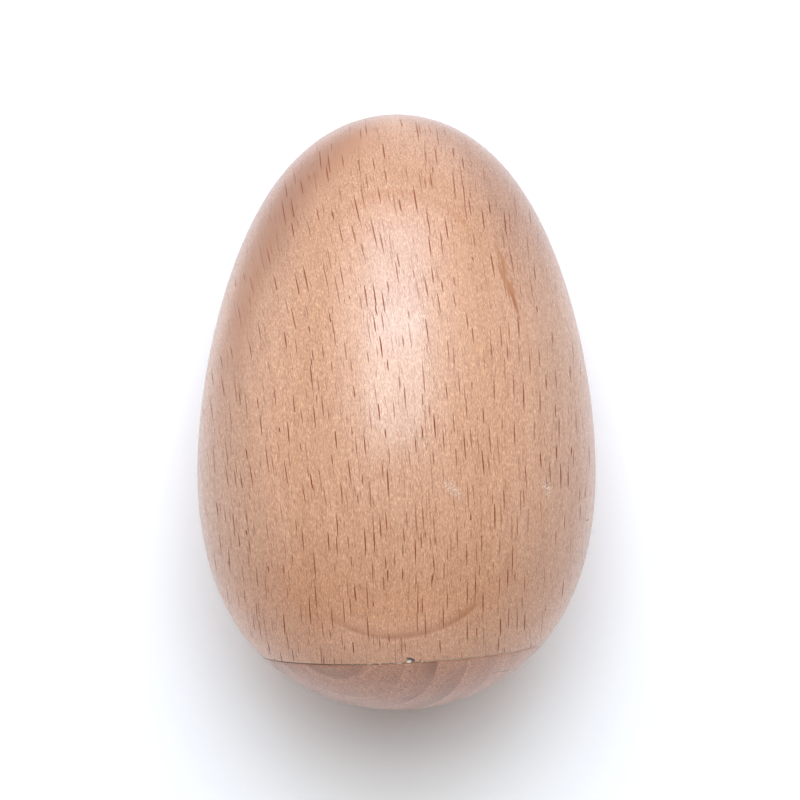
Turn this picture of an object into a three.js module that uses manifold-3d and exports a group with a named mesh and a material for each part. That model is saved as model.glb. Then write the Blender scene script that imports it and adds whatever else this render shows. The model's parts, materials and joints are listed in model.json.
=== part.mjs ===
// Egg shaker: a turned beech egg, bored out from its blunt end, filled with loose steel shot and
// closed by a beech plug that is glued into the mouth and turned flush with the outside.
//
// Millimetres, +Z up. The egg lies on its side: its long axis runs along +Y, with the small end
// towards +Y and the plug towards -Y. The origin is on the surface that the egg lies on, under the
// middle of its length.
import * as THREE from "three";
import { mergeVertices } from "three/addons/utils/BufferGeometryUtils.js";
import Module from "manifold-3d";

// The turned outside: an ellipse of revolution whose radius is scaled along its length, which
// moves the widest place towards the blunt end and fills out both ends.
const LENGTH = 75;
const MID_RADIUS = 24.73; // half-way along the egg
const TAPER = [-0.166, 0.131, 0.036]; // first, second and third power of the place along the axis
const WIDEST_Y = -7.4;
const BELLY = [-9.2, -4.2]; // the belly is straight from here to here, under the centre of mass

// The boring, made from the blunt end on an axis that runs a little to one side of the egg's own.
const BORE_OFFSET = 0.8;
const SEAT_RADIUS = 18; // the counterbore that takes the plug
const MOUTH_Y = -30.4; // where the counterbore breaks out through the outside
const SEAT_DEPTH = 5;
const CHAMBER_RADIUS = 16.5;
const CHAMBER_STRAIGHT_TO = 8; // the chamber is a cylinder as far as this, and then a dome
const DOME_DEPTH = 24;

// The plug and the film of dried glue round it.
const GLUE_GAP = 0.15; // between the wall of the seat and the plug
const FIT_GAP = 0.03; // keeps neighbouring faces apart

// The steel shot, lying in one layer along the bottom of the chamber.
const BEAD_RADIUS = 2.5;
const BEAD_COLUMNS = 6;
const BEAD_ROWS = 4;
const BEAD_PITCH = 5.4; // from bead to bead along a column
const BEAD_CLEARANCE = 0.2; // to the chamber's wall
const FIRST_BEAD_Y = -22.5;

// How finely round faces are cut.
const SIDES = 48;
const SMALL_END_RINGS = 15;
const BLUNT_END_RINGS = 11;
const DOME_RINGS = 8;
const BEAD_DETAIL = 1;

const SEAT_Y = MOUTH_Y + SEAT_DEPTH;
const REST_HEIGHT = eggRadius(WIDEST_Y) * Math.cos(Math.PI / SIDES); // from the axis to the belly's flat

const BEECH = { color: 0xdcac8c, roughness: 0.42, metalness: 0 };
const PLUG_BEECH = { color: 0xd0a68c, roughness: 0.45, metalness: 0 };
const GLUE = { color: 0xb89a78, roughness: 0.6, metalness: 0 };
const STEEL = { color: 0xb8b8bc, roughness: 0.3, metalness: 1 };

const manifold = await Module();
manifold.setup();

// The outside's radius at a place along the axis.
function eggRadius(y) {
  const t = y / (LENGTH / 2);
  const scale = 1 + t * (TAPER[0] + t * (TAPER[1] + t * TAPER[2]));
  return MID_RADIUS * Math.sqrt(Math.max(0, 1 - t * t)) * scale;
}

// Places from one point on the axis to an end of the egg, closer together towards the end.
function placesTowards(end, start, rings) {
  return Array.from(
    { length: rings + 1 },
    (_, i) => start + (end - start) * Math.sin(((i / rings) * Math.PI) / 2),
  );
}

// A closed body of revolution about the Y axis, with a flat of its outline underneath.
function revolve(outline) {
  const points = outline.map(([radius, y]) => new THREE.Vector2(radius, y));
  return new THREE.LatheGeometry(points, SIDES, Math.PI / SIDES);
}

function toSolid(geometry) {
  const bare = geometry.clone();
  bare.deleteAttribute("normal");
  bare.deleteAttribute("uv");
  const merged = mergeVertices(bare, 1e-4);
  return new manifold.Manifold(
    new manifold.Mesh({
      numProp: 3,
      vertProperties: merged.attributes.position.array,
      triVerts: new Uint32Array(merged.index.array),
    }),
  );
}

function toGeometry(solid) {
  const { vertProperties, triVerts } = solid.getMesh();
  const geometry = new THREE.BufferGeometry();
  geometry.setAttribute("position", new THREE.BufferAttribute(vertProperties, 3));
  geometry.setIndex(new THREE.BufferAttribute(triVerts, 1));
  geometry.computeVertexNormals();
  return geometry;
}

// The whole outside as one solid egg.
function eggSolid() {
  const blunt = placesTowards(-LENGTH / 2, BELLY[0], BLUNT_END_RINGS).reverse();
  const small = placesTowards(LENGTH / 2, BELLY[1], SMALL_END_RINGS);
  const outline = [...blunt, ...small].map((y) => [eggRadius(y), y]);
  outline[BLUNT_END_RINGS][0] = eggRadius(WIDEST_Y);
  outline[BLUNT_END_RINGS + 1][0] = eggRadius(WIDEST_Y);
  return toSolid(revolve(outline));
}

// The air that the boring leaves: the counterbore for the plug, then the domed chamber.
function boringSolid() {
  const dome = Array.from({ length: DOME_RINGS + 1 }, (_, i) => {
    const angle = ((i / DOME_RINGS) * Math.PI) / 2;
    return [CHAMBER_RADIUS * Math.cos(angle), CHAMBER_STRAIGHT_TO + DOME_DEPTH * Math.sin(angle)];
  });
  dome[DOME_RINGS][0] = 0;
  const outline = [
    [0, -LENGTH],
    [SEAT_RADIUS, -LENGTH],
    [SEAT_RADIUS, SEAT_Y],
    [CHAMBER_RADIUS, SEAT_Y],
    ...dome,
  ];
  return toSolid(revolve(outline).translate(BORE_OFFSET, 0, 0));
}

// A ring, or a disc where the inner radius is 0, that runs from the seat out past the egg.
function seatedSolid(innerRadius, outerRadius) {
  const from = SEAT_Y - FIT_GAP;
  const outline = [
    [innerRadius, -LENGTH],
    [outerRadius, -LENGTH],
    [outerRadius, from],
    [innerRadius, from],
  ];
  if (innerRadius > 0) outline.push([innerRadius, -LENGTH]);
  return toSolid(revolve(outline).translate(BORE_OFFSET, 0, 0));
}

function piece(name, geometry, finish) {
  const mesh = new THREE.Mesh(geometry, new THREE.MeshStandardMaterial(finish));
  mesh.name = name;
  return mesh;
}

// Each bead lies against the chamber's wall, in columns that are set half a pitch apart.
function beads() {
  const track = CHAMBER_RADIUS - BEAD_CLEARANCE - BEAD_RADIUS;
  const columnPitch = (BEAD_PITCH * Math.sqrt(3)) / 2;
  const made = [];
  for (let row = 0; row < BEAD_ROWS; row++) {
    for (let column = 0; column < BEAD_COLUMNS; column++) {
      const across = (column - (BEAD_COLUMNS - 1) / 2) * columnPitch;
      const along = FIRST_BEAD_Y + (row + (column % 2) / 2) * BEAD_PITCH;
      const name = `steel_bead_${String(made.length + 1).padStart(2, "0")}`;
      const bead = piece(name, new THREE.IcosahedronGeometry(BEAD_RADIUS, BEAD_DETAIL), STEEL);
      bead.position.set(BORE_OFFSET + across, along, -Math.sqrt(track ** 2 - across ** 2));
      made.push(bead);
    }
  }
  return made;
}

const egg = eggSolid();
const shell = egg.subtract(boringSolid());
const plug = egg.intersect(seatedSolid(0, SEAT_RADIUS - GLUE_GAP));
const glue = egg.intersect(
  seatedSolid(SEAT_RADIUS - GLUE_GAP + FIT_GAP, SEAT_RADIUS - FIT_GAP),
);

const shaker = new THREE.Group();
shaker.add(piece("egg_shell", toGeometry(shell), BEECH));
shaker.add(piece("end_plug", toGeometry(plug), PLUG_BEECH));
shaker.add(piece("glue_line", toGeometry(glue), GLUE));
shaker.add(...beads());
shaker.position.z = REST_HEIGHT;

export default shaker;
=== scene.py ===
"""The looks of a turned beech egg shaker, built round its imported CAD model."""

import json
import math

import bmesh
import bpy
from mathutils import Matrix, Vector, noise


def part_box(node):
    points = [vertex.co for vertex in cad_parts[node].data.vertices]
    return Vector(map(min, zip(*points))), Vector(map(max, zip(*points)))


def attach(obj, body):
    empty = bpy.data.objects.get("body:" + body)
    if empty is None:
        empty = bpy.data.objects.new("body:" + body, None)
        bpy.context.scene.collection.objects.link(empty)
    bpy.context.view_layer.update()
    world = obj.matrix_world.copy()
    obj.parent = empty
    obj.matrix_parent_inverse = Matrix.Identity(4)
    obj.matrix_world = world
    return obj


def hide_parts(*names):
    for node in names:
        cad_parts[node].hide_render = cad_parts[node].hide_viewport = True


MM = 0.001

# The turned outside, in millimetres, as the CAD model has it.
LENGTH = 75
MID_RADIUS = 24.73
TAPER = (-0.166, 0.131, 0.036)
WIDEST_Y = -7.4

# The boring and the plug.
BORE_OFFSET = 0.8
SEAT_RADIUS = 18
SEAT_Y = -25.4
CHAMBER_RADIUS = 16.5
CHAMBER_STRAIGHT_TO = 8
DOME_DEPTH = 24
GLUE_GAP = 0.15  # between the wall of the seat and the plug
FIT_GAP = 0.03  # keeps the plug and the film of glue off the ledge
GLUE_FIT = 0.015  # keeps the film off the wood on both sides
PLUG_SHIFT = 0.05  # the plug sits this much to the right in its seat

# The seam's small chip: its angle round the boring, its half-width, how far it reaches from the
# seam and its depth.
CHIP_ANGLE = math.radians(2.6)
CHIP_HALF_WIDTH = 0.62
CHIP_REACH = 0.55
CHIP_DEPTH = 0.42

# How finely the turned pieces are cut.
COLUMNS = 288
CHIP_COLUMNS = 24
SHELL_ROWS = 130
PLUG_ROWS = 46
DOME_ROWS = 14
NEAR_SEAM = (0.9, 0.65, 0.48, 0.34, 0.22, 0.12, 0.0)  # the shell's last rows, this far from the seam
SHELL_SEAT = (0.08, 0.35, 1.0)  # rows down the seat's wall, as shares of its depth
PLUG_SEAT = (0.1, 0.5, 1.0)
CHAMBER_WALL = (SEAT_Y, -17, -8, 0, CHAMBER_STRAIGHT_TO)  # rows along the chamber's straight wall

# The camera looks down at a point that is level with the egg's axis.
CAMERA_DISTANCE = 600
CAMERA_TILT = math.radians(3.2)
CAMERA_AIM = (0.44, 1.55)
VIEW_WIDTH = 100.8  # what the camera sees across, at that height
SENSOR = 36


def egg_radius(y):
    """The outside's radius at a place along the axis."""
    t = max(-1, min(1, y / (LENGTH / 2)))
    return MID_RADIUS * math.sqrt(1 - t * t) * (1 + t * (TAPER[0] + t * (TAPER[1] + t * TAPER[2])))


def blunt_place(radius):
    """Where along the axis the blunt half has this radius."""
    low, high = -LENGTH / 2, WIDEST_Y
    for _ in range(50):
        middle = (low + high) / 2
        if egg_radius(middle) < radius:
            low = middle
        else:
            high = middle
    return (low + high) / 2


# ---------------------------------------------------------------- the frame and the camera

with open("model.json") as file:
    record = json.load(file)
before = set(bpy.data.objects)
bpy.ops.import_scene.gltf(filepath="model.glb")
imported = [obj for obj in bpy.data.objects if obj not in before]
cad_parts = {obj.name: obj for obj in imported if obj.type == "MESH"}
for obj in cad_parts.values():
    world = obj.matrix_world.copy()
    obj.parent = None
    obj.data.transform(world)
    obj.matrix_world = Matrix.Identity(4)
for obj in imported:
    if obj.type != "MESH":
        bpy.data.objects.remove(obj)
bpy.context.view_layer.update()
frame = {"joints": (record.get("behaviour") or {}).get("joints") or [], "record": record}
shell_low, shell_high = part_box("egg_shell")
AXIS_HEIGHT = (shell_low.z + shell_high.z) / 2 / MM
FIT = (shell_high.x - shell_low.x) / 2 / MM / egg_radius(WIDEST_Y)  # onto the CAD model's flats


def make_camera():
    data = bpy.data.cameras.new("camera")
    data.sensor_width = SENSOR
    data.lens = SENSOR * CAMERA_DISTANCE / VIEW_WIDTH
    data.clip_start = 0.01
    data.clip_end = 10
    camera = bpy.data.objects.new("camera", data)
    back = Vector((0, math.sin(CAMERA_TILT), math.cos(CAMERA_TILT)))
    aim = Vector((CAMERA_AIM[0], CAMERA_AIM[1], AXIS_HEIGHT))
    camera.location = (aim + back * CAMERA_DISTANCE) * MM
    camera.rotation_euler = (-CAMERA_TILT, 0, 0)
    bpy.context.scene.collection.objects.link(camera)
    bpy.context.scene.camera = camera


make_camera()


# ---------------------------------------------------------------- geometry

def new_piece(name, points, faces, body, nodes):
    """A mesh of points in millimetres, riding on a body in place of CAD nodes."""
    mesh = bpy.data.meshes.new(name)
    mesh.from_pydata([Vector(p) * MM for p in points], [], faces)
    mesh.validate()
    piece = bpy.data.objects.new(name, mesh)
    bpy.context.scene.collection.objects.link(piece)
    made = bmesh.new()
    made.from_mesh(mesh)
    bmesh.ops.recalc_face_normals(made, faces=made.faces)
    made.to_mesh(mesh)
    made.free()
    for polygon in mesh.polygons:
        polygon.use_smooth = True
    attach(piece, body)
    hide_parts(*nodes)
    return piece


def column_angles():
    """Angles round the boring, closer together at the chip."""
    angles = [2 * math.pi * i / COLUMNS for i in range(COLUMNS)]
    reach = 1.3 * CHIP_HALF_WIDTH / SEAT_RADIUS
    extra = [CHIP_ANGLE + reach * (2 * i / CHIP_COLUMNS - 1) for i in range(CHIP_COLUMNS + 1)]
    kept = [a for a in angles if abs(a - CHIP_ANGLE) > reach + math.pi / COLUMNS]
    return sorted(a % (2 * math.pi) for a in kept + extra)


def lathe(columns, poles):
    """Points and faces of a skin from rows of points in columns, with a pole at one or both ends."""
    count, rows = len(columns), len(columns[0])
    points = [p for column in columns for p in column]
    faces = []
    for i in range(count):
        j = (i + 1) % count
        for k in range(rows - 1):
            faces.append((i * rows + k, i * rows + k + 1, j * rows + k + 1, j * rows + k))
    for pole, row in poles:
        points.append(pole)
        for i in range(count):
            faces.append((i * rows + row, (i + 1) % count * rows + row, len(points) - 1))
    return points, faces


def at_bore(radius, angle, y, shift=0.0):
    """A place round the axis of the boring."""
    x = BORE_OFFSET + shift + radius * math.sin(angle)
    return (x, y, AXIS_HEIGHT + radius * math.cos(angle))


def on_egg(around, y):
    """A place on the outside."""
    radius = egg_radius(y) * FIT
    return (radius * math.sin(around), y, AXIS_HEIGHT + radius * math.cos(around))


def rim(radius, angle, shift=0.0):
    """Where a cylinder in the boring breaks out of the egg: its angle on the egg, its place."""
    x, _, z = at_bore(radius, angle, 0, shift)
    z -= AXIS_HEIGHT
    return math.atan2(x, z), blunt_place(math.hypot(x, z) / FIT)


def smooth_down(value, reach):
    """Falls from 1 at nothing to 0 at the reach."""
    share = max(0.0, 1 - abs(value) / reach)
    return share * share * (3 - 2 * share)


def chipped(point, angle, distance):
    """A point of the shell near the seam, pushed in where the edge has lost a chip."""
    across = (angle - CHIP_ANGLE + math.pi) % (2 * math.pi) - math.pi
    across *= SEAT_RADIUS
    jag = 1 + 0.35 * noise.noise(Vector((across * 4, distance * 3, 0.3)))
    depth = CHIP_DEPTH * jag * smooth_down(across, CHIP_HALF_WIDTH) * smooth_down(distance, CHIP_REACH)
    return (point[0], point[1] + 0.1 * depth, point[2] - depth)


def shell_column(angle):
    """The shell at one angle: the outside, the seat with its ledge, and the domed chamber."""
    around, end = rim(SEAT_RADIUS, angle)
    sweep = math.acos((end + NEAR_SEAM[0] + 0.3) / (LENGTH / 2))
    column = []
    for i in range(1, SHELL_ROWS + 1):
        column.append(on_egg(around, LENGTH / 2 * math.cos(sweep * i / SHELL_ROWS)))
    for distance in NEAR_SEAM:
        column.append(chipped(on_egg(around, end + distance), angle, distance))
    for share in SHELL_SEAT:
        column.append(at_bore(SEAT_RADIUS, angle, end + (SEAT_Y - end) * share))
    for y in CHAMBER_WALL:
        column.append(at_bore(CHAMBER_RADIUS, angle, y))
    for i in range(1, DOME_ROWS):
        turn = math.pi / 2 * i / DOME_ROWS
        y = CHAMBER_STRAIGHT_TO + DOME_DEPTH * math.sin(turn)
        column.append(at_bore(CHAMBER_RADIUS * math.cos(turn), angle, y))
    return column


def make_shell():
    columns = [shell_column(angle) for angle in column_angles()]
    small_pole = (0, LENGTH / 2, AXIS_HEIGHT)
    dome_pole = (BORE_OFFSET, CHAMBER_STRAIGHT_TO + DOME_DEPTH, AXIS_HEIGHT)
    points, faces = lathe(columns, [(small_pole, 0), (dome_pole, len(columns[0]) - 1)])
    return new_piece("shell_turned", points, faces, "egg", ["egg_shell"])


def plug_column(angle):
    """The plug at one angle: the outside, its wall in the seat, and its flat inner face."""
    radius = SEAT_RADIUS - GLUE_GAP
    around, end = rim(radius, angle, PLUG_SHIFT)
    sweep = math.acos(-end / (LENGTH / 2))
    column = []
    for i in range(1, PLUG_ROWS + 1):
        column.append(on_egg(around, -LENGTH / 2 * math.cos(sweep * i / PLUG_ROWS)))
    for share in PLUG_SEAT:
        column.append(at_bore(radius, angle, end + (SEAT_Y - FIT_GAP - end) * share, PLUG_SHIFT))
    column.append(at_bore(radius * 0.6, angle, SEAT_Y - FIT_GAP, PLUG_SHIFT))
    return column


def make_plug():
    columns = [plug_column(angle) for angle in column_angles()]
    blunt_pole = (0, -LENGTH / 2, AXIS_HEIGHT)
    inner_pole = (BORE_OFFSET + PLUG_SHIFT, SEAT_Y - FIT_GAP, AXIS_HEIGHT)
    points, faces = lathe(columns, [(blunt_pole, 0), (inner_pole, len(columns[0]) - 1)])
    return new_piece("plug_turned", points, faces, "egg", ["end_plug"])


def glue_corners(angle):
    """The film's four corners at one angle. It has sunk a little, most on the left."""
    inner = SEAT_RADIUS - GLUE_GAP + GLUE_FIT
    outer = SEAT_RADIUS - GLUE_FIT
    _, outer_end = rim(outer, angle)
    _, inner_end = rim(inner, angle, PLUG_SHIFT)
    left = 0.5 - 0.5 * math.sin(angle)
    ripple = noise.noise(Vector((math.sin(angle) * 14, math.cos(angle) * 14, 2.0)))
    sunk = 0.01 + 0.03 * left + 0.03 * ripple
    return (
        at_bore(outer, angle, outer_end + sunk),
        at_bore(inner, angle, inner_end + sunk, PLUG_SHIFT),
        at_bore(inner, angle, SEAT_Y - FIT_GAP, PLUG_SHIFT),
        at_bore(outer, angle, SEAT_Y - FIT_GAP),
    )


def make_glue():
    columns = [glue_corners(angle) for angle in column_angles()]
    count, rows = len(columns), len(columns[0])
    points = [p for column in columns for p in column]
    faces = []
    for i in range(count):
        j = (i + 1) % count
        for k in range(rows):
            n = (k + 1) % rows
            faces.append((i * rows + k, i * rows + n, j * rows + n, j * rows + k))
    return new_piece("glue_dried", points, faces, "egg", ["glue_line"])


def make_bead(body, node):
    """A cast steel ball, a little out of round."""
    low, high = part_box(node)
    centre = (low + high) / 2 / MM
    radius = (high.z - low.z) / 2 / MM
    seed = Vector((centre.x, centre.y, centre.z))
    ball = bmesh.new()
    bmesh.ops.create_icosphere(ball, subdivisions=3, radius=1.0)
    points = []
    for vertex in ball.verts:
        lumps = noise.noise(vertex.co * 1.6 + seed)
        points.append(centre + vertex.co * radius * (0.985 + 0.015 * lumps))
    faces = [[v.index for v in face.verts] for face in ball.faces]
    ball.free()
    return new_piece("shot_" + node[-2:], points, faces, body, [node])


# ---------------------------------------------------------------- materials

class Graph:
    """A material's node tree. Inputs are sockets or plain numbers."""

    def __init__(self, name):
        self.material = bpy.data.materials.new(name)
        self.material.use_nodes = True
        self.tree = self.material.node_tree
        self.shader = self.tree.nodes["Principled BSDF"]

    def feed(self, socket, value):
        if isinstance(value, bpy.types.NodeSocket):
            self.tree.links.new(value, socket)
        elif value is not None:
            socket.default_value = value

    def add(self, kind, inputs=(), **settings):
        node = self.tree.nodes.new(kind)
        for key, value in settings.items():
            setattr(node, key, value)
        for key, value in dict(inputs).items():
            self.feed(node.inputs[key], value)
        return node

    def math(self, operation, a, b=None, c=None):
        return self.add("ShaderNodeMath", {0: a, 1: b, 2: c}, operation=operation).outputs[0]

    def vector(self, operation, a, b=None):
        node = self.add("ShaderNodeVectorMath", {0: a, 1: b}, operation=operation)
        return node.outputs["Value" if operation in ("LENGTH", "DOT_PRODUCT") else "Vector"]

    def split(self, vector):
        return self.add("ShaderNodeSeparateXYZ", {0: vector}).outputs[:]

    def join(self, x, y, z):
        return self.add("ShaderNodeCombineXYZ", {0: x, 1: y, 2: z}).outputs[0]

    def product(self, first, *others):
        for other in others:
            first = self.math("MULTIPLY", first, other)
        return first

    def fade(self, value, low, high, start=0.0, end=1.0):
        """A smooth step from start to end, as value goes from low to high."""
        inputs = {"Value": value, 1: low, 2: high, 3: start, 4: end}
        return self.add("ShaderNodeMapRange", inputs, interpolation_type="SMOOTHSTEP").outputs[0]

    def noise(self, vector, scale, detail=2.0, roughness=0.5):
        inputs = {"Vector": vector, "Scale": scale, "Detail": detail, "Roughness": roughness}
        return self.add("ShaderNodeTexNoise", inputs).outputs["Fac"]

    def blend(self, share, a, b, kind="MIX"):
        node = self.add("ShaderNodeMix", data_type="RGBA", blend_type=kind)
        self.feed(node.inputs[0], share)
        self.feed(node.inputs[6], a)
        self.feed(node.inputs[7], b)
        return node.outputs[2]

    def millimetres(self):
        """Place in the row frame, from the egg's axis, in millimetres."""
        place = self.add("ShaderNodeTexCoord").outputs["Object"]
        scaled = self.vector("MULTIPLY", place, (1 / MM, 1 / MM, 1 / MM))
        return self.vector("SUBTRACT", scaled, (0.0, 0.0, AXIS_HEIGHT))

    def mark(self, x, y, z, centre, lean, half_length, half_width, size, cover):
        """How much of one ragged mark on the upper side is here. It's long along y and leans."""
        along = self.math("SUBTRACT", y, centre[1])
        across = self.math("SUBTRACT", x, centre[0])
        across = self.math("MULTIPLY_ADD", along, lean, across)
        long = self.math("DIVIDE", along, half_length)
        wide = self.math("DIVIDE", across, half_width)
        reach = self.math("ADD", self.math("MULTIPLY", long, long), self.math("MULTIPLY", wide, wide))
        stretch = min(1.0, 2 * half_width / half_length)
        place = self.join(across, self.math("MULTIPLY", along, stretch), 0.0)
        rough = self.noise(place, size, 2.0, 0.6)
        ragged = self.math("MULTIPLY_ADD", rough, 4.0, self.math("SUBTRACT", cover - 2.0, reach))
        return self.math("MULTIPLY", self.fade(ragged, 0.0, 0.8), self.fade(z, 0.0, 3.0))

    def bump(self, height, strength, reach):
        inputs = {"Strength": strength, "Distance": reach * MM, "Height": height}
        return self.add("ShaderNodeBump", inputs).outputs[0]

    def flecks(self, across, along, deep, cell, half_length, half_width, share, seed):
        """Spindle-shaped marks along the grain: how much of one is here."""
        place = self.join(
            self.math("DIVIDE", across, cell[0]),
            self.math("DIVIDE", along, cell[1]),
            self.math("MULTIPLY_ADD", deep, 1 / cell[2], seed),
        )
        cells = self.add("ShaderNodeTexVoronoi", {"Vector": place, "Scale": 1.0, "Randomness": 0.95})
        gap = self.vector("SUBTRACT", place, cells.outputs["Position"])
        red, green, blue = self.add(
            "ShaderNodeSeparateColor", {0: cells.outputs["Color"]}
        ).outputs[:3]
        gap_across, gap_along, _ = self.split(gap)
        length = self.math("MULTIPLY_ADD", red, half_length[1] - half_length[0], half_length[0])
        width = self.math("MULTIPLY_ADD", green, half_width[1] - half_width[0], half_width[0])
        end = self.math("DIVIDE", self.math("MULTIPLY", gap_along, cell[1]), length)
        side = self.math("DIVIDE", self.math("MULTIPLY", gap_across, cell[0]), width)
        body = self.math("SUBTRACT", 1.0, self.math("MULTIPLY", end, end))
        inside = self.math("SUBTRACT", body, self.math("ABSOLUTE", side))
        mark = self.fade(inside, -0.15, 0.45)
        present = self.fade(blue, 1 - share, 1 - share + 0.02)
        chance = self.math("FRACT", self.math("MULTIPLY", blue, 37.0))
        strength = self.math("MULTIPLY_ADD", chance, 0.65, 0.35)
        return self.math("MULTIPLY", self.math("MULTIPLY", mark, present), strength)


class Wood(Graph):
    """Beech, laid out in the tree's own directions, under a satin lacquer, with light and shade
    painted into its colour in places.
    """

    def __init__(self, name, look):
        super().__init__(name)
        self.look = look
        self.place = self.millimetres()
        self.x, self.y, self.z = self.split(self.place)
        self.wave = self.noise(self.vector("MULTIPLY", self.place, (0.09, 0.05, 0.09)), 1.0, 2.0)
        self.patches = self.noise(self.place, 0.055, 2.0)
        self.lay_grain()
        self.lay_fibres()
        self.lay_rings()
        self.lay_rays()
        self.colour()
        self.surface()

    def lay_grain(self):
        """Places across and into the wood. The grain leans and bends a little from the egg's axis."""
        x, y, z, look = self.x, self.y, self.z, self.look
        cos, sin = look["turn"]
        turned_x = self.math("ADD", self.math("MULTIPLY", x, cos), self.math("MULTIPLY", z, sin))
        turned_z = self.math("SUBTRACT", self.math("MULTIPLY", z, cos), self.math("MULTIPLY", x, sin))
        lean = self.math("MULTIPLY_ADD", y, look["bend"], look["lean"])
        lean = self.math("MULTIPLY_ADD", x, look["spread"], lean)
        sway = self.noise(self.place, 0.06, 1.0)
        leaned = self.math("MULTIPLY_ADD", y, lean, turned_x)
        self.across = self.math("MULTIPLY_ADD", sway, look["sway"], leaned)
        self.deep = self.math("MULTIPLY_ADD", y, look["dip"], turned_z)
        straight = self.math("MULTIPLY_ADD", y, lean, x)
        straight = self.math("MULTIPLY_ADD", sway, look["sway"], straight)
        self.with_grain = self.join(straight, y, z)

    def lay_fibres(self):
        """Fine fibres, the broad streaks they gather in, short grain and specks."""
        place = self.vector("MULTIPLY", self.with_grain, self.look["fibre_scale"])
        self.fibres = self.noise(place, 6.5, 2.0, 0.6)
        self.grain = self.noise(self.vector("MULTIPLY", place, GRAIN_STRETCH), 10.5, 1.0)
        specks_place = self.vector("MULTIPLY", self.with_grain, self.look["speck_stretch"])
        self.specks = self.noise(specks_place, 8.0, 1.0)
        drawn_out = self.vector("MULTIPLY", self.with_grain, (1.0, 0.04, 0.12))
        self.streaks = self.noise(drawn_out, 0.9, 3.0, 0.6)

    def lay_rings(self):
        """Growth rings: each darkens towards its end, and the next one starts pale."""
        look = self.look
        self.layer = self.deep
        if look["pith"]:
            pith_x, pith_z = look["pith"]
            off_x = self.math("SUBTRACT", self.x, pith_x)
            off_z = self.math("SUBTRACT", self.z, pith_z)
            radius = self.vector("LENGTH", self.join(off_x, 0.0, off_z))
            self.layer = self.math("MULTIPLY", radius, -1.0)
        ring = self.math("MULTIPLY_ADD", self.wave, look["ring_wave"], self.layer)
        ring = self.math("DIVIDE", self.math("SUBTRACT", ring, look["ring_at"]), look["ring_step"])
        number = self.math("FLOOR", ring)
        share = self.math("SUBTRACT", ring, number)
        late = self.fade(share, 0.0, look["ring_width"], 1.0, 0.0)
        start = self.fade(share, 0.0, look["ring_start"])
        self.rings = self.product(late, start, self.ring_strength(number), self.unevenness())
        faint_place = self.math("MULTIPLY_ADD", self.wave, 1.5, self.layer)
        self.faint = self.noise(self.join(0.0, 0.0, faint_place), 0.75, 2.0, 0.6)

    def ring_strength(self, number):
        """Each ring has a strength of its own."""
        vary = self.look["ring_vary"]
        dice = self.add("ShaderNodeTexWhiteNoise", {"W": number}, noise_dimensions="1D")
        chance = self.math("MULTIPLY_ADD", dice.outputs["Value"], vary, 1 - vary)
        if not self.look["face_ring"]:
            return chance
        # The upper face has one ring, which shows at both ends and is lost on the left.
        face = self.product(
            self.fade(self.math("ABSOLUTE", self.y), 12.0, 23.0),
            self.fade(self.y, -5.0, 5.0, 1.0, 0.55),
            self.fade(self.x, -10.0, -5.0),
        )
        under = self.math("MULTIPLY", self.fade(self.z, 0.0, -4.0), chance)
        return self.blend(self.fade(number, -0.6, -0.4), under, face)

    def unevenness(self):
        """Rings come and go along their length."""
        uneven = self.fade(self.noise(self.place, 0.16, 2.0), 0.34, 0.6, 0.25, 1.0)
        right = self.fade(self.x, 4.0, 13.0, 1.0, self.look["ring_right"])
        left = self.fade(self.x, -9.0, -1.0, self.look["ring_left"], 1.0)
        return self.product(uneven, right, left)

    def lay_rays(self):
        """Rays: dark spindles where they're cut across, nearly nothing at the egg's two sides."""
        place = (self.across, self.y, self.deep)
        cut_across = self.fade(self.math("ABSOLUTE", self.z), *RAYS_FADE, 0.15, 1.0)
        large = self.flecks(*place, *LARGE_RAYS, self.look["large"], 0.4)
        small = self.flecks(*place, *SMALL_RAYS, self.look["small"], 7.3)
        self.large = self.math("MULTIPLY", large, cut_across)
        self.small = self.math("MULTIPLY", small, cut_across)

    def fibres_and_painted_light(self):
        look = self.look
        tone = self.blend(self.fade(self.streaks, 0.3, 0.7), look["pale"], look["deep"])
        warm = self.math("MULTIPLY", self.fade(self.patches, 0.35, 0.7), 0.35)
        tone = self.blend(warm, tone, look["warm"])
        dark = self.math("MULTIPLY", self.fade(self.fibres, 0.42, 0.68), look["fibre"])
        tone = self.blend(dark, tone, look["fibre_tone"])
        light = self.math("MULTIPLY", self.fade(self.grain, 0.52, 0.3), LIGHT_FIBRES)
        tone = self.blend(light, tone, look["light_fibre"])
        # Specks and grain vary the wood's tone; the rest of this gain is painted light and shade:
        # brighter on the upward face, changed from left to right, brighter at the blunt end and darker
        # at the small end.
        gain = self.product(
            self.fade(self.specks, 0.25, 0.75, 1 + look["speck"], 1 - look["speck"]),
            self.fade(self.grain, 0.25, 0.75, 1.06, 0.94),
            self.fade(self.layer, *TOP_LIGHT_DEPTHS, *look["tone_and_top_light_gain"]),
            self.fade(self.x, *RIGHT_SIDE, *look["side_painted_light"]),
            self.fade(self.y, *BLUNT_END, 1.0, look["blunt_end_painted_light"]),
            self.fade(self.y, *SMALL_END, 1.0, look["small_end_painted_shade"]),
        )
        return self.vector("MULTIPLY", tone, self.join(gain, gain, gain))

    def rings_and_painted_shade(self, tone):
        """Painted shade, darker and warmer towards the blunt end; the growth rings; and the broad ring
        across the left shoulder.
        """
        look = self.look
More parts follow.
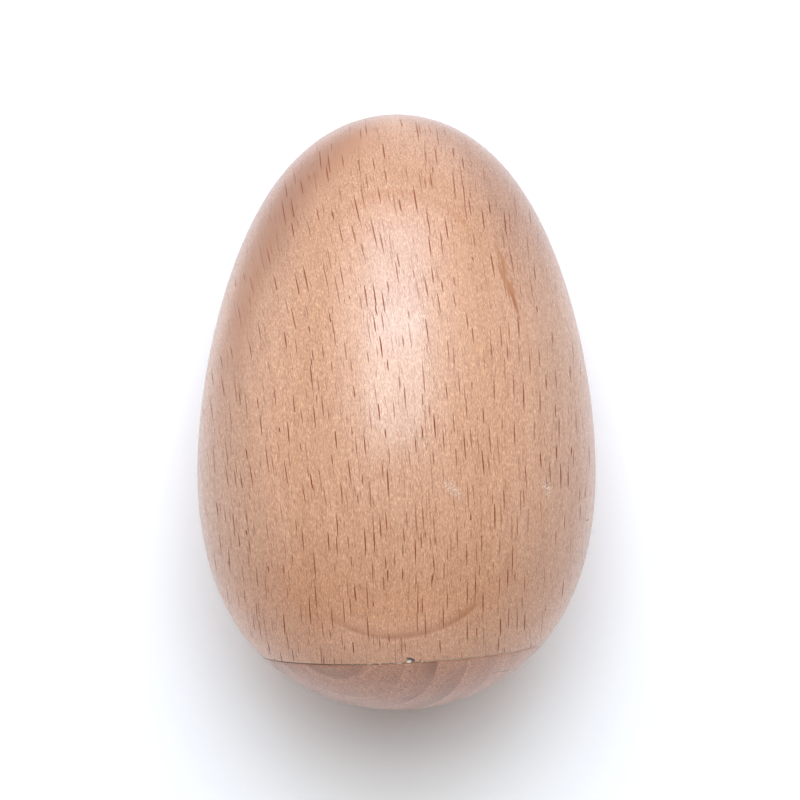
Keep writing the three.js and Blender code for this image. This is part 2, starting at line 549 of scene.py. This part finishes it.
        # Painted shade: darker and warmer towards the blunt end, less of it on the right.
        low = self.fade(self.y, -12.0, -22.0, 0.0, look["blunt_end_painted_shade"])
        low = self.math("MULTIPLY", low, self.fade(self.x, 2.0, 12.0, 1.0, 0.35))
        tone = self.blend(low, tone, LOW_SHADE, "MULTIPLY")
        faint = self.fade(self.faint, 0.45, 0.7, 0.0, look["faint_ring"])
        tone = self.blend(faint, tone, look["ring_tone"])
        tone = self.blend(self.math("MULTIPLY", self.rings, look["ring"]), tone, look["ring_tone"])
        return self.blend(self.broad_ring(), tone, BROAD_RING_TONE)

    def broad_ring(self):
        """How much of the broad ring is here: how deep it lies, and where it fades out."""
        depth = self.math("MULTIPLY_ADD", self.wave, 2.0, self.deep)
        return self.product(
            self.fade(depth, 18.2, 13.6),
            self.fade(depth, 8.0, 12.0),
            self.fade(self.x, 2.0, -7.0),
            self.fade(self.y, -6.0, 16.0),
            self.fade(self.streaks, 0.25, 0.6, 0.8, 1.0),
            self.look["broad_ring"],
        )

    def colour(self):
        look = self.look
        tone = self.rings_and_painted_shade(self.fibres_and_painted_light())
        tone = self.blend(self.math("MULTIPLY", self.small, 0.5), tone, look["fleck_tone"])
        # Painted shade: the small end darkened along its sides, near the outline.
        side = self.math("MULTIPLY_ADD", self.math("ABSOLUTE", self.x), -0.9, self.z)
        shoulder = self.math("MULTIPLY", self.fade(side, 7.0, -1.0), self.fade(self.y, 12.0, 30.0))
        shoulder = self.math("MULTIPLY", shoulder, look["shoulder"])
        tone = self.blend(shoulder, tone, SHOULDER_SHADE, "MULTIPLY")
        tone = self.blend(self.math("MULTIPLY", self.large, look["fleck"]), tone, look["fleck_tone"])
        for *shape, mark_tone in look["marks"]:
            tone = self.blend(self.mark(self.x, self.y, self.z, *shape), tone, mark_tone)
        self.feed(self.shader.inputs["Base Color"], self.vector("MULTIPLY", tone, STAIN))

    def surface(self):
        """Fibres stand a little proud; rays are hollows that the lacquer doesn't quite fill."""
        look = self.look
        inputs = self.shader.inputs
        height = self.math("MULTIPLY", self.fibres, 0.35)
        height = self.math("MULTIPLY_ADD", self.grain, 0.25, height)
        height = self.math("MULTIPLY_ADD", self.large, -0.9, height)
        height = self.math("MULTIPLY_ADD", self.small, -0.3, height)
        height = self.math("MULTIPLY_ADD", self.streaks, 0.5, height)
        self.feed(inputs["Normal"], self.bump(height, look["bump"], 0.12))
        self.feed(inputs["Coat Normal"], self.bump(height, look["bump"] * 0.45, 0.1))
        rough = self.fade(self.fibres, 0.3, 0.8, look["rough"] - 0.05, look["rough"] + 0.07)
        self.feed(inputs["Roughness"], rough)
        worn, even = look["coat_rough"] + 0.04, look["coat_rough"] - 0.03
        self.feed(inputs["Coat Roughness"], self.fade(self.patches, 0.3, 0.7, even, worn))
        coat = self.math("MULTIPLY_ADD", self.large, -0.85 * look["coat"], look["coat"])
        self.feed(inputs["Coat Weight"], coat)
        self.feed(inputs["Specular IOR Level"], self.math("MULTIPLY_ADD", self.large, -0.4, 0.5))
        inputs["Coat IOR"].default_value = 1.52


# Ray flecks: the cell that each one sits in, its half-length and its half-width, least and most.
LARGE_RAYS = ((1.1, 3.4, 6.0), (0.7, 2.3), (0.062, 0.094))
SMALL_RAYS = ((0.5, 1.9, 3.5), (0.35, 1.2), (0.04, 0.065))
RAYS_FADE = (2.5, 9.0)  # up or down from the axis: where the rays come to show
# Where the painted light and shade change over the wood: millimetres from the egg's axis, or along it
# from the middle.
TOP_LIGHT_DEPTHS = (14.0, 21.5)
RIGHT_SIDE = (-2.0, 18.0)
BLUNT_END = (-16.0, -27.0)
SMALL_END = (10.0, 26.0)
GRAIN_STRETCH = (1.0, 1.3, 1.5)
LIGHT_FIBRES = 0.6
# Painted shade at the blunt end, the broad ring's own tone, and painted shade on the small end's
# sides.
LOW_SHADE = (0.98, 0.88, 0.80, 1)
BROAD_RING_TONE = (0.61, 0.305, 0.135, 1)
SHOULDER_SHADE = (0.70, 0.60, 0.54, 1)
STAIN = (0.634, 0.498, 0.42)  # over every tone
chip_x, chip_y, _ = on_egg(*rim(SEAT_RADIUS, CHIP_ANGLE))
SHELL_MARKS = (  # where, lean, half-length, half-width, grain size, cover, colour
    # A reddish streak on the right, and its darker core.
    ((13.6, 17.0), 0.30, 5.8, 0.8, 1.6, 0.7, (0.60, 0.28, 0.12, 1)),
    ((14.1, 15.6), 0.30, 3.6, 0.3, 1.6, 0.6, (0.50, 0.19, 0.07, 1)),
    # Two pale scuffs, each with a few dark specks under it.
    ((6.8, -7.9), 0.75, 2.3, 1.5, 4.5, 0.25, (1.0, 0.97, 0.94, 1)),
    ((18.4, -8.2), 0.2, 1.9, 0.8, 4.5, 0.3, (1.0, 0.97, 0.94, 1)),
    ((7.3, -9.2), 0.9, 1.0, 0.5, 9.0, -0.3, (0.30, 0.13, 0.06, 1)),
    ((18.8, -9.0), 0.3, 0.7, 0.2, 9.0, 0.0, (0.30, 0.13, 0.06, 1)),
    # A dark streak with a kink in it, and a dot at the right edge.
    ((4.5, -16.7), 0.1, 1.3, 0.09, 0.5, 1.0, (0.36, 0.11, 0.03, 1)),
    ((4.4, -18.7), -0.16, 0.8, 0.10, 0.5, 1.0, (0.30, 0.08, 0.02, 1)),
    ((23.85, -13.05), 0.0, 0.16, 0.32, 0.5, 0.8, (0.14, 0.05, 0.02, 1)),
    # Painted shade in the chip's hollow, and a pale spot beside it.
    ((chip_x + 0.16, chip_y + 0.42), 0.6, 0.3, 0.48, 1.0, 1.3, (0.04, 0.012, 0.004, 1)),
    ((chip_x - 0.2, chip_y + 0.02), 0.2, 0.13, 0.3, 1.0, 0.9, (0.9, 0.8, 0.68, 1)),
)
SHELL_LOOK = {
    # How the grain runs.
    "lean": 0.095, "bend": 0.0012, "spread": -0.003, "turn": (1.0, 0.0), "sway": 1.2, "dip": 0.089,
    # Growth rings: flat layers, or round a pith.
    "ring_at": 18.4, "ring_step": 7.65, "ring_start": 0.055, "ring_width": 0.17,
    "ring_vary": 0.85, "ring_wave": 0.9,
    "ring_right": 1.0, "ring_left": 1.0,
    "ring": 0.95, "ring_tone": (0.60, 0.27, 0.11, 1),
    "face_ring": True, "faint_ring": 0.16, "pith": None, "broad_ring": 1.0,
    # Painted light and shade over the piece, then the wood's own tones.
    "tone_and_top_light_gain": (0.95, 1.08), "side_painted_light": (1.06, 1.03), "blunt_end_painted_shade": 0.65, "blunt_end_painted_light": 1.15,
    "small_end_painted_shade": 0.94, "shoulder": 0.75,
    "pale": (0.80, 0.53, 0.365, 1), "deep": (0.72, 0.455, 0.305, 1), "warm": (0.76, 0.46, 0.285, 1),
    # Ray flecks: the shares of cells that have one, and their strength.
    "large": 0.6, "small": 0.5, "fleck": 1.0, "fleck_tone": (0.33, 0.055, 0.0, 1),
    # Fibres and specks.
    "fibre_scale": (1.0, 0.15, 0.22), "fibre": 0.3, "speck_stretch": (1.0, 0.38, 0.6), "speck": 0.135,
    "fibre_tone": (0.42, 0.21, 0.11, 1), "light_fibre": (0.97, 0.69, 0.49, 1),
    # The surface.
    "bump": 0.6, "rough": 0.5, "coat": 0.6, "coat_rough": 0.18,
    "marks": SHELL_MARKS,
}
PLUG_LOOK = {  # what differs from the shell's
    **SHELL_LOOK,
    "lean": 0.02, "bend": 0.0, "spread": 0.0, "turn": (0.46, 0.89), "sway": 0.6, "dip": 0.0,
    "ring_at": -14.9, "ring_step": 4.1, "ring_start": 0.04, "ring_width": 0.95,
    "ring_vary": 0.3, "ring_wave": 0.8,
    "ring_right": 0.4, "ring_left": 0.6,
    "ring": 1.0, "ring_tone": (0.37, 0.155, 0.068, 1),
    "face_ring": False, "faint_ring": 0.25, "pith": (-9.9, 20.1), "broad_ring": 0.0,
    # An overall darkening, painted light and shade, then the plug's own tones.
    "tone_and_top_light_gain": (0.765, 0.765), "side_painted_light": (0.96, 1.06), "blunt_end_painted_shade": 0.6, "blunt_end_painted_light": 1.2,
    "shoulder": 0.0,
    "pale": (0.97, 0.56, 0.385, 1), "deep": (0.86, 0.47, 0.315, 1), "warm": (0.86, 0.45, 0.29, 1),
    "large": 0.04, "small": 0.2, "fleck": 0.4,
    "fibre_scale": (0.4, 1.1, 1.1), "fibre": 0.8, "speck_stretch": (0.6, 1.0, 1.0), "speck": 0.36,
    "fibre_tone": (0.44, 0.22, 0.13, 1), "light_fibre": (1.0, 0.76, 0.58, 1),
    "bump": 0.7, "rough": 0.52, "coat_rough": 0.16,
    "marks": (((13.0, -31.8), 5.0, 0.12, 1.3, 2.0, 0.8, (0.25, 0.13, 0.07, 1)),),
}


def glue_material():
    graph = Graph("glue")
    place = graph.millimetres()
    x, _, _ = graph.split(place)
    spots = graph.noise(place, 2.2, 3.0)
    left = graph.fade(x, -9.0, -4.0, 1.0, 0.0)
    right = graph.fade(x, 2.0, 5.0)
    tone = graph.blend(graph.fade(spots, 0.54, 0.62), (0.28, 0.17, 0.105, 1), (0.8, 0.68, 0.55, 1))
    tone = graph.blend(graph.math("MULTIPLY", left, 0.95), tone, (0.15, 0.085, 0.05, 1))
    tone = graph.blend(graph.math("MULTIPLY", right, 0.8), tone, (0.50, 0.33, 0.25, 1))
    graph.feed(graph.shader.inputs["Base Color"], tone)
    graph.feed(graph.shader.inputs["Roughness"], graph.fade(spots, 0.3, 0.7, 0.45, 0.75))
    graph.feed(graph.shader.inputs["Normal"], graph.bump(spots, 0.5, 0.05))
    return graph.material


def steel_material():
    graph = Graph("steel")
    place = graph.millimetres()
    pits = graph.noise(place, 1.8, 4.0, 0.6)
    scratches = graph.noise(graph.vector("MULTIPLY", place, (1.0, 6.0, 1.0)), 3.0, 2.0)
    tone = graph.blend(graph.fade(pits, 0.35, 0.65), (0.36, 0.35, 0.34, 1), (0.62, 0.62, 0.63, 1))
    graph.feed(graph.shader.inputs["Base Color"], tone)
    graph.shader.inputs["Metallic"].default_value = 1.0
    graph.feed(graph.shader.inputs["Roughness"], graph.fade(scratches, 0.3, 0.7, 0.22, 0.42))
    graph.feed(graph.shader.inputs["Normal"], graph.bump(pits, 0.4, 0.05))
    return graph.material


# ---------------------------------------------------------------- the pieces

def soften_edges(piece, width):
    """Breaks a piece's sharp edges by this much."""
    bevel = piece.modifiers.new("edge", "BEVEL")
    bevel.width = width * MM
    bevel.segments = 2
    bevel.limit_method = "ANGLE"
    bevel.angle_limit = math.radians(50)
    bevel.use_clamp_overlap = True


shell = make_shell()
plug = make_plug()
glue = make_glue()
shell.data.materials.append(Wood("beech_shell", SHELL_LOOK).material)
plug.data.materials.append(Wood("beech_plug", PLUG_LOOK).material)
glue.data.materials.append(glue_material())
soften_edges(shell, 0.03)
soften_edges(plug, 0.03)

steel = steel_material()
for joint in frame["joints"]:
    body = joint["child"]
    for node in frame["record"]["behaviour"]["bodies"][body]:
        make_bead(body, node).data.materials.append(steel)


# ---------------------------------------------------------------- floor and light

LIGHT_DISTANCE = 600
LIGHT_TINTS = {"key": (0.74, 1.0, 1.36), "strip": (0.80, 0.94, 1.03)}
LIGHTS = {  # angle towards the small end, angle out to each side, width, length, power
    "key": (38.5, 0, 400, 330, 1.33),
    "strip": (17, 0, 380, 270, 1.65),
    "over": (12, 0, 1100, 700, 0.45),
    "sky": (42, 0, 900, 700, 3.7),
    "sides": (3, 74, 700, 260, 0.52),
    "foot": (-72, 0, 700, 260, 0.85),
    "low": (-38, 0, 600, 350, 0.22),
}
WALL_GLOW = 1.0
WALL_TOP = (0.08, 0.14)  # how high the wall starts to darken and ends, as a sine above the horizon
FLOOR_HALF = 0.6


def make_floor():
    corners = ((-1, -1), (1, -1), (1, 1), (-1, 1))
    points = [(x * FLOOR_HALF, y * FLOOR_HALF, 0) for x, y in corners]
    mesh = bpy.data.meshes.new("floor")
    mesh.from_pydata(points, [], [(0, 1, 2, 3)])
    floor = bpy.data.objects.new("floor", mesh)
    bpy.context.scene.collection.objects.link(floor)
    graph = Graph("floor")
    graph.shader.inputs["Base Color"].default_value = (0.97, 0.94, 0.925, 1)
    graph.shader.inputs["Roughness"].default_value = 0.9
    graph.shader.inputs["Specular IOR Level"].default_value = 0.1
    mesh.materials.append(graph.material)


def make_light(name, tilt, side, width, length, power):
    data = bpy.data.lights.new(name, "AREA")
    data.shape = "RECTANGLE"
    data.size = width * MM
    data.size_y = length * MM
    data.energy = power
    data.color = LIGHT_TINTS.get(name, (1, 1, 1))
    light = bpy.data.objects.new(name, data)
    level = math.cos(tilt)
    direction = Vector((math.sin(side) * level, math.sin(tilt), math.cos(side) * level))
    light.location = (Vector((0, 0, AXIS_HEIGHT)) + direction * LIGHT_DISTANCE) * MM
    light.rotation_euler = direction.to_track_quat("Z", "Y").to_euler()
    bpy.context.scene.collection.objects.link(light)


def make_lights():
    for name, (tilt, side, width, length, power) in LIGHTS.items():
        for angle in {side, -side}:
            make_light(name, math.radians(tilt), math.radians(angle), width, length, power)


def make_world():
    """A pale studio wall all round: bright up to a little above the horizon, dark overhead."""
    world = bpy.data.worlds.new("world")
    world.use_nodes = True
    tree = world.node_tree
    background = tree.nodes["Background"]
    background.inputs["Color"].default_value = (1, 1, 1, 1)
    place = tree.nodes.new("ShaderNodeTexCoord")
    split = tree.nodes.new("ShaderNodeSeparateXYZ")
    wall = tree.nodes.new("ShaderNodeMapRange")
    wall.interpolation_type = "SMOOTHSTEP"
    for socket, value in zip(wall.inputs[1:5], (*WALL_TOP, WALL_GLOW, 0.0)):
        socket.default_value = value
    tree.links.new(place.outputs["Generated"], split.inputs[0])
    tree.links.new(split.outputs["Z"], wall.inputs["Value"])
    tree.links.new(wall.outputs[0], background.inputs["Strength"])
    bpy.context.scene.world = world
    bpy.context.scene.view_settings.view_transform = "Standard"


make_floor()
make_lights()
make_world()
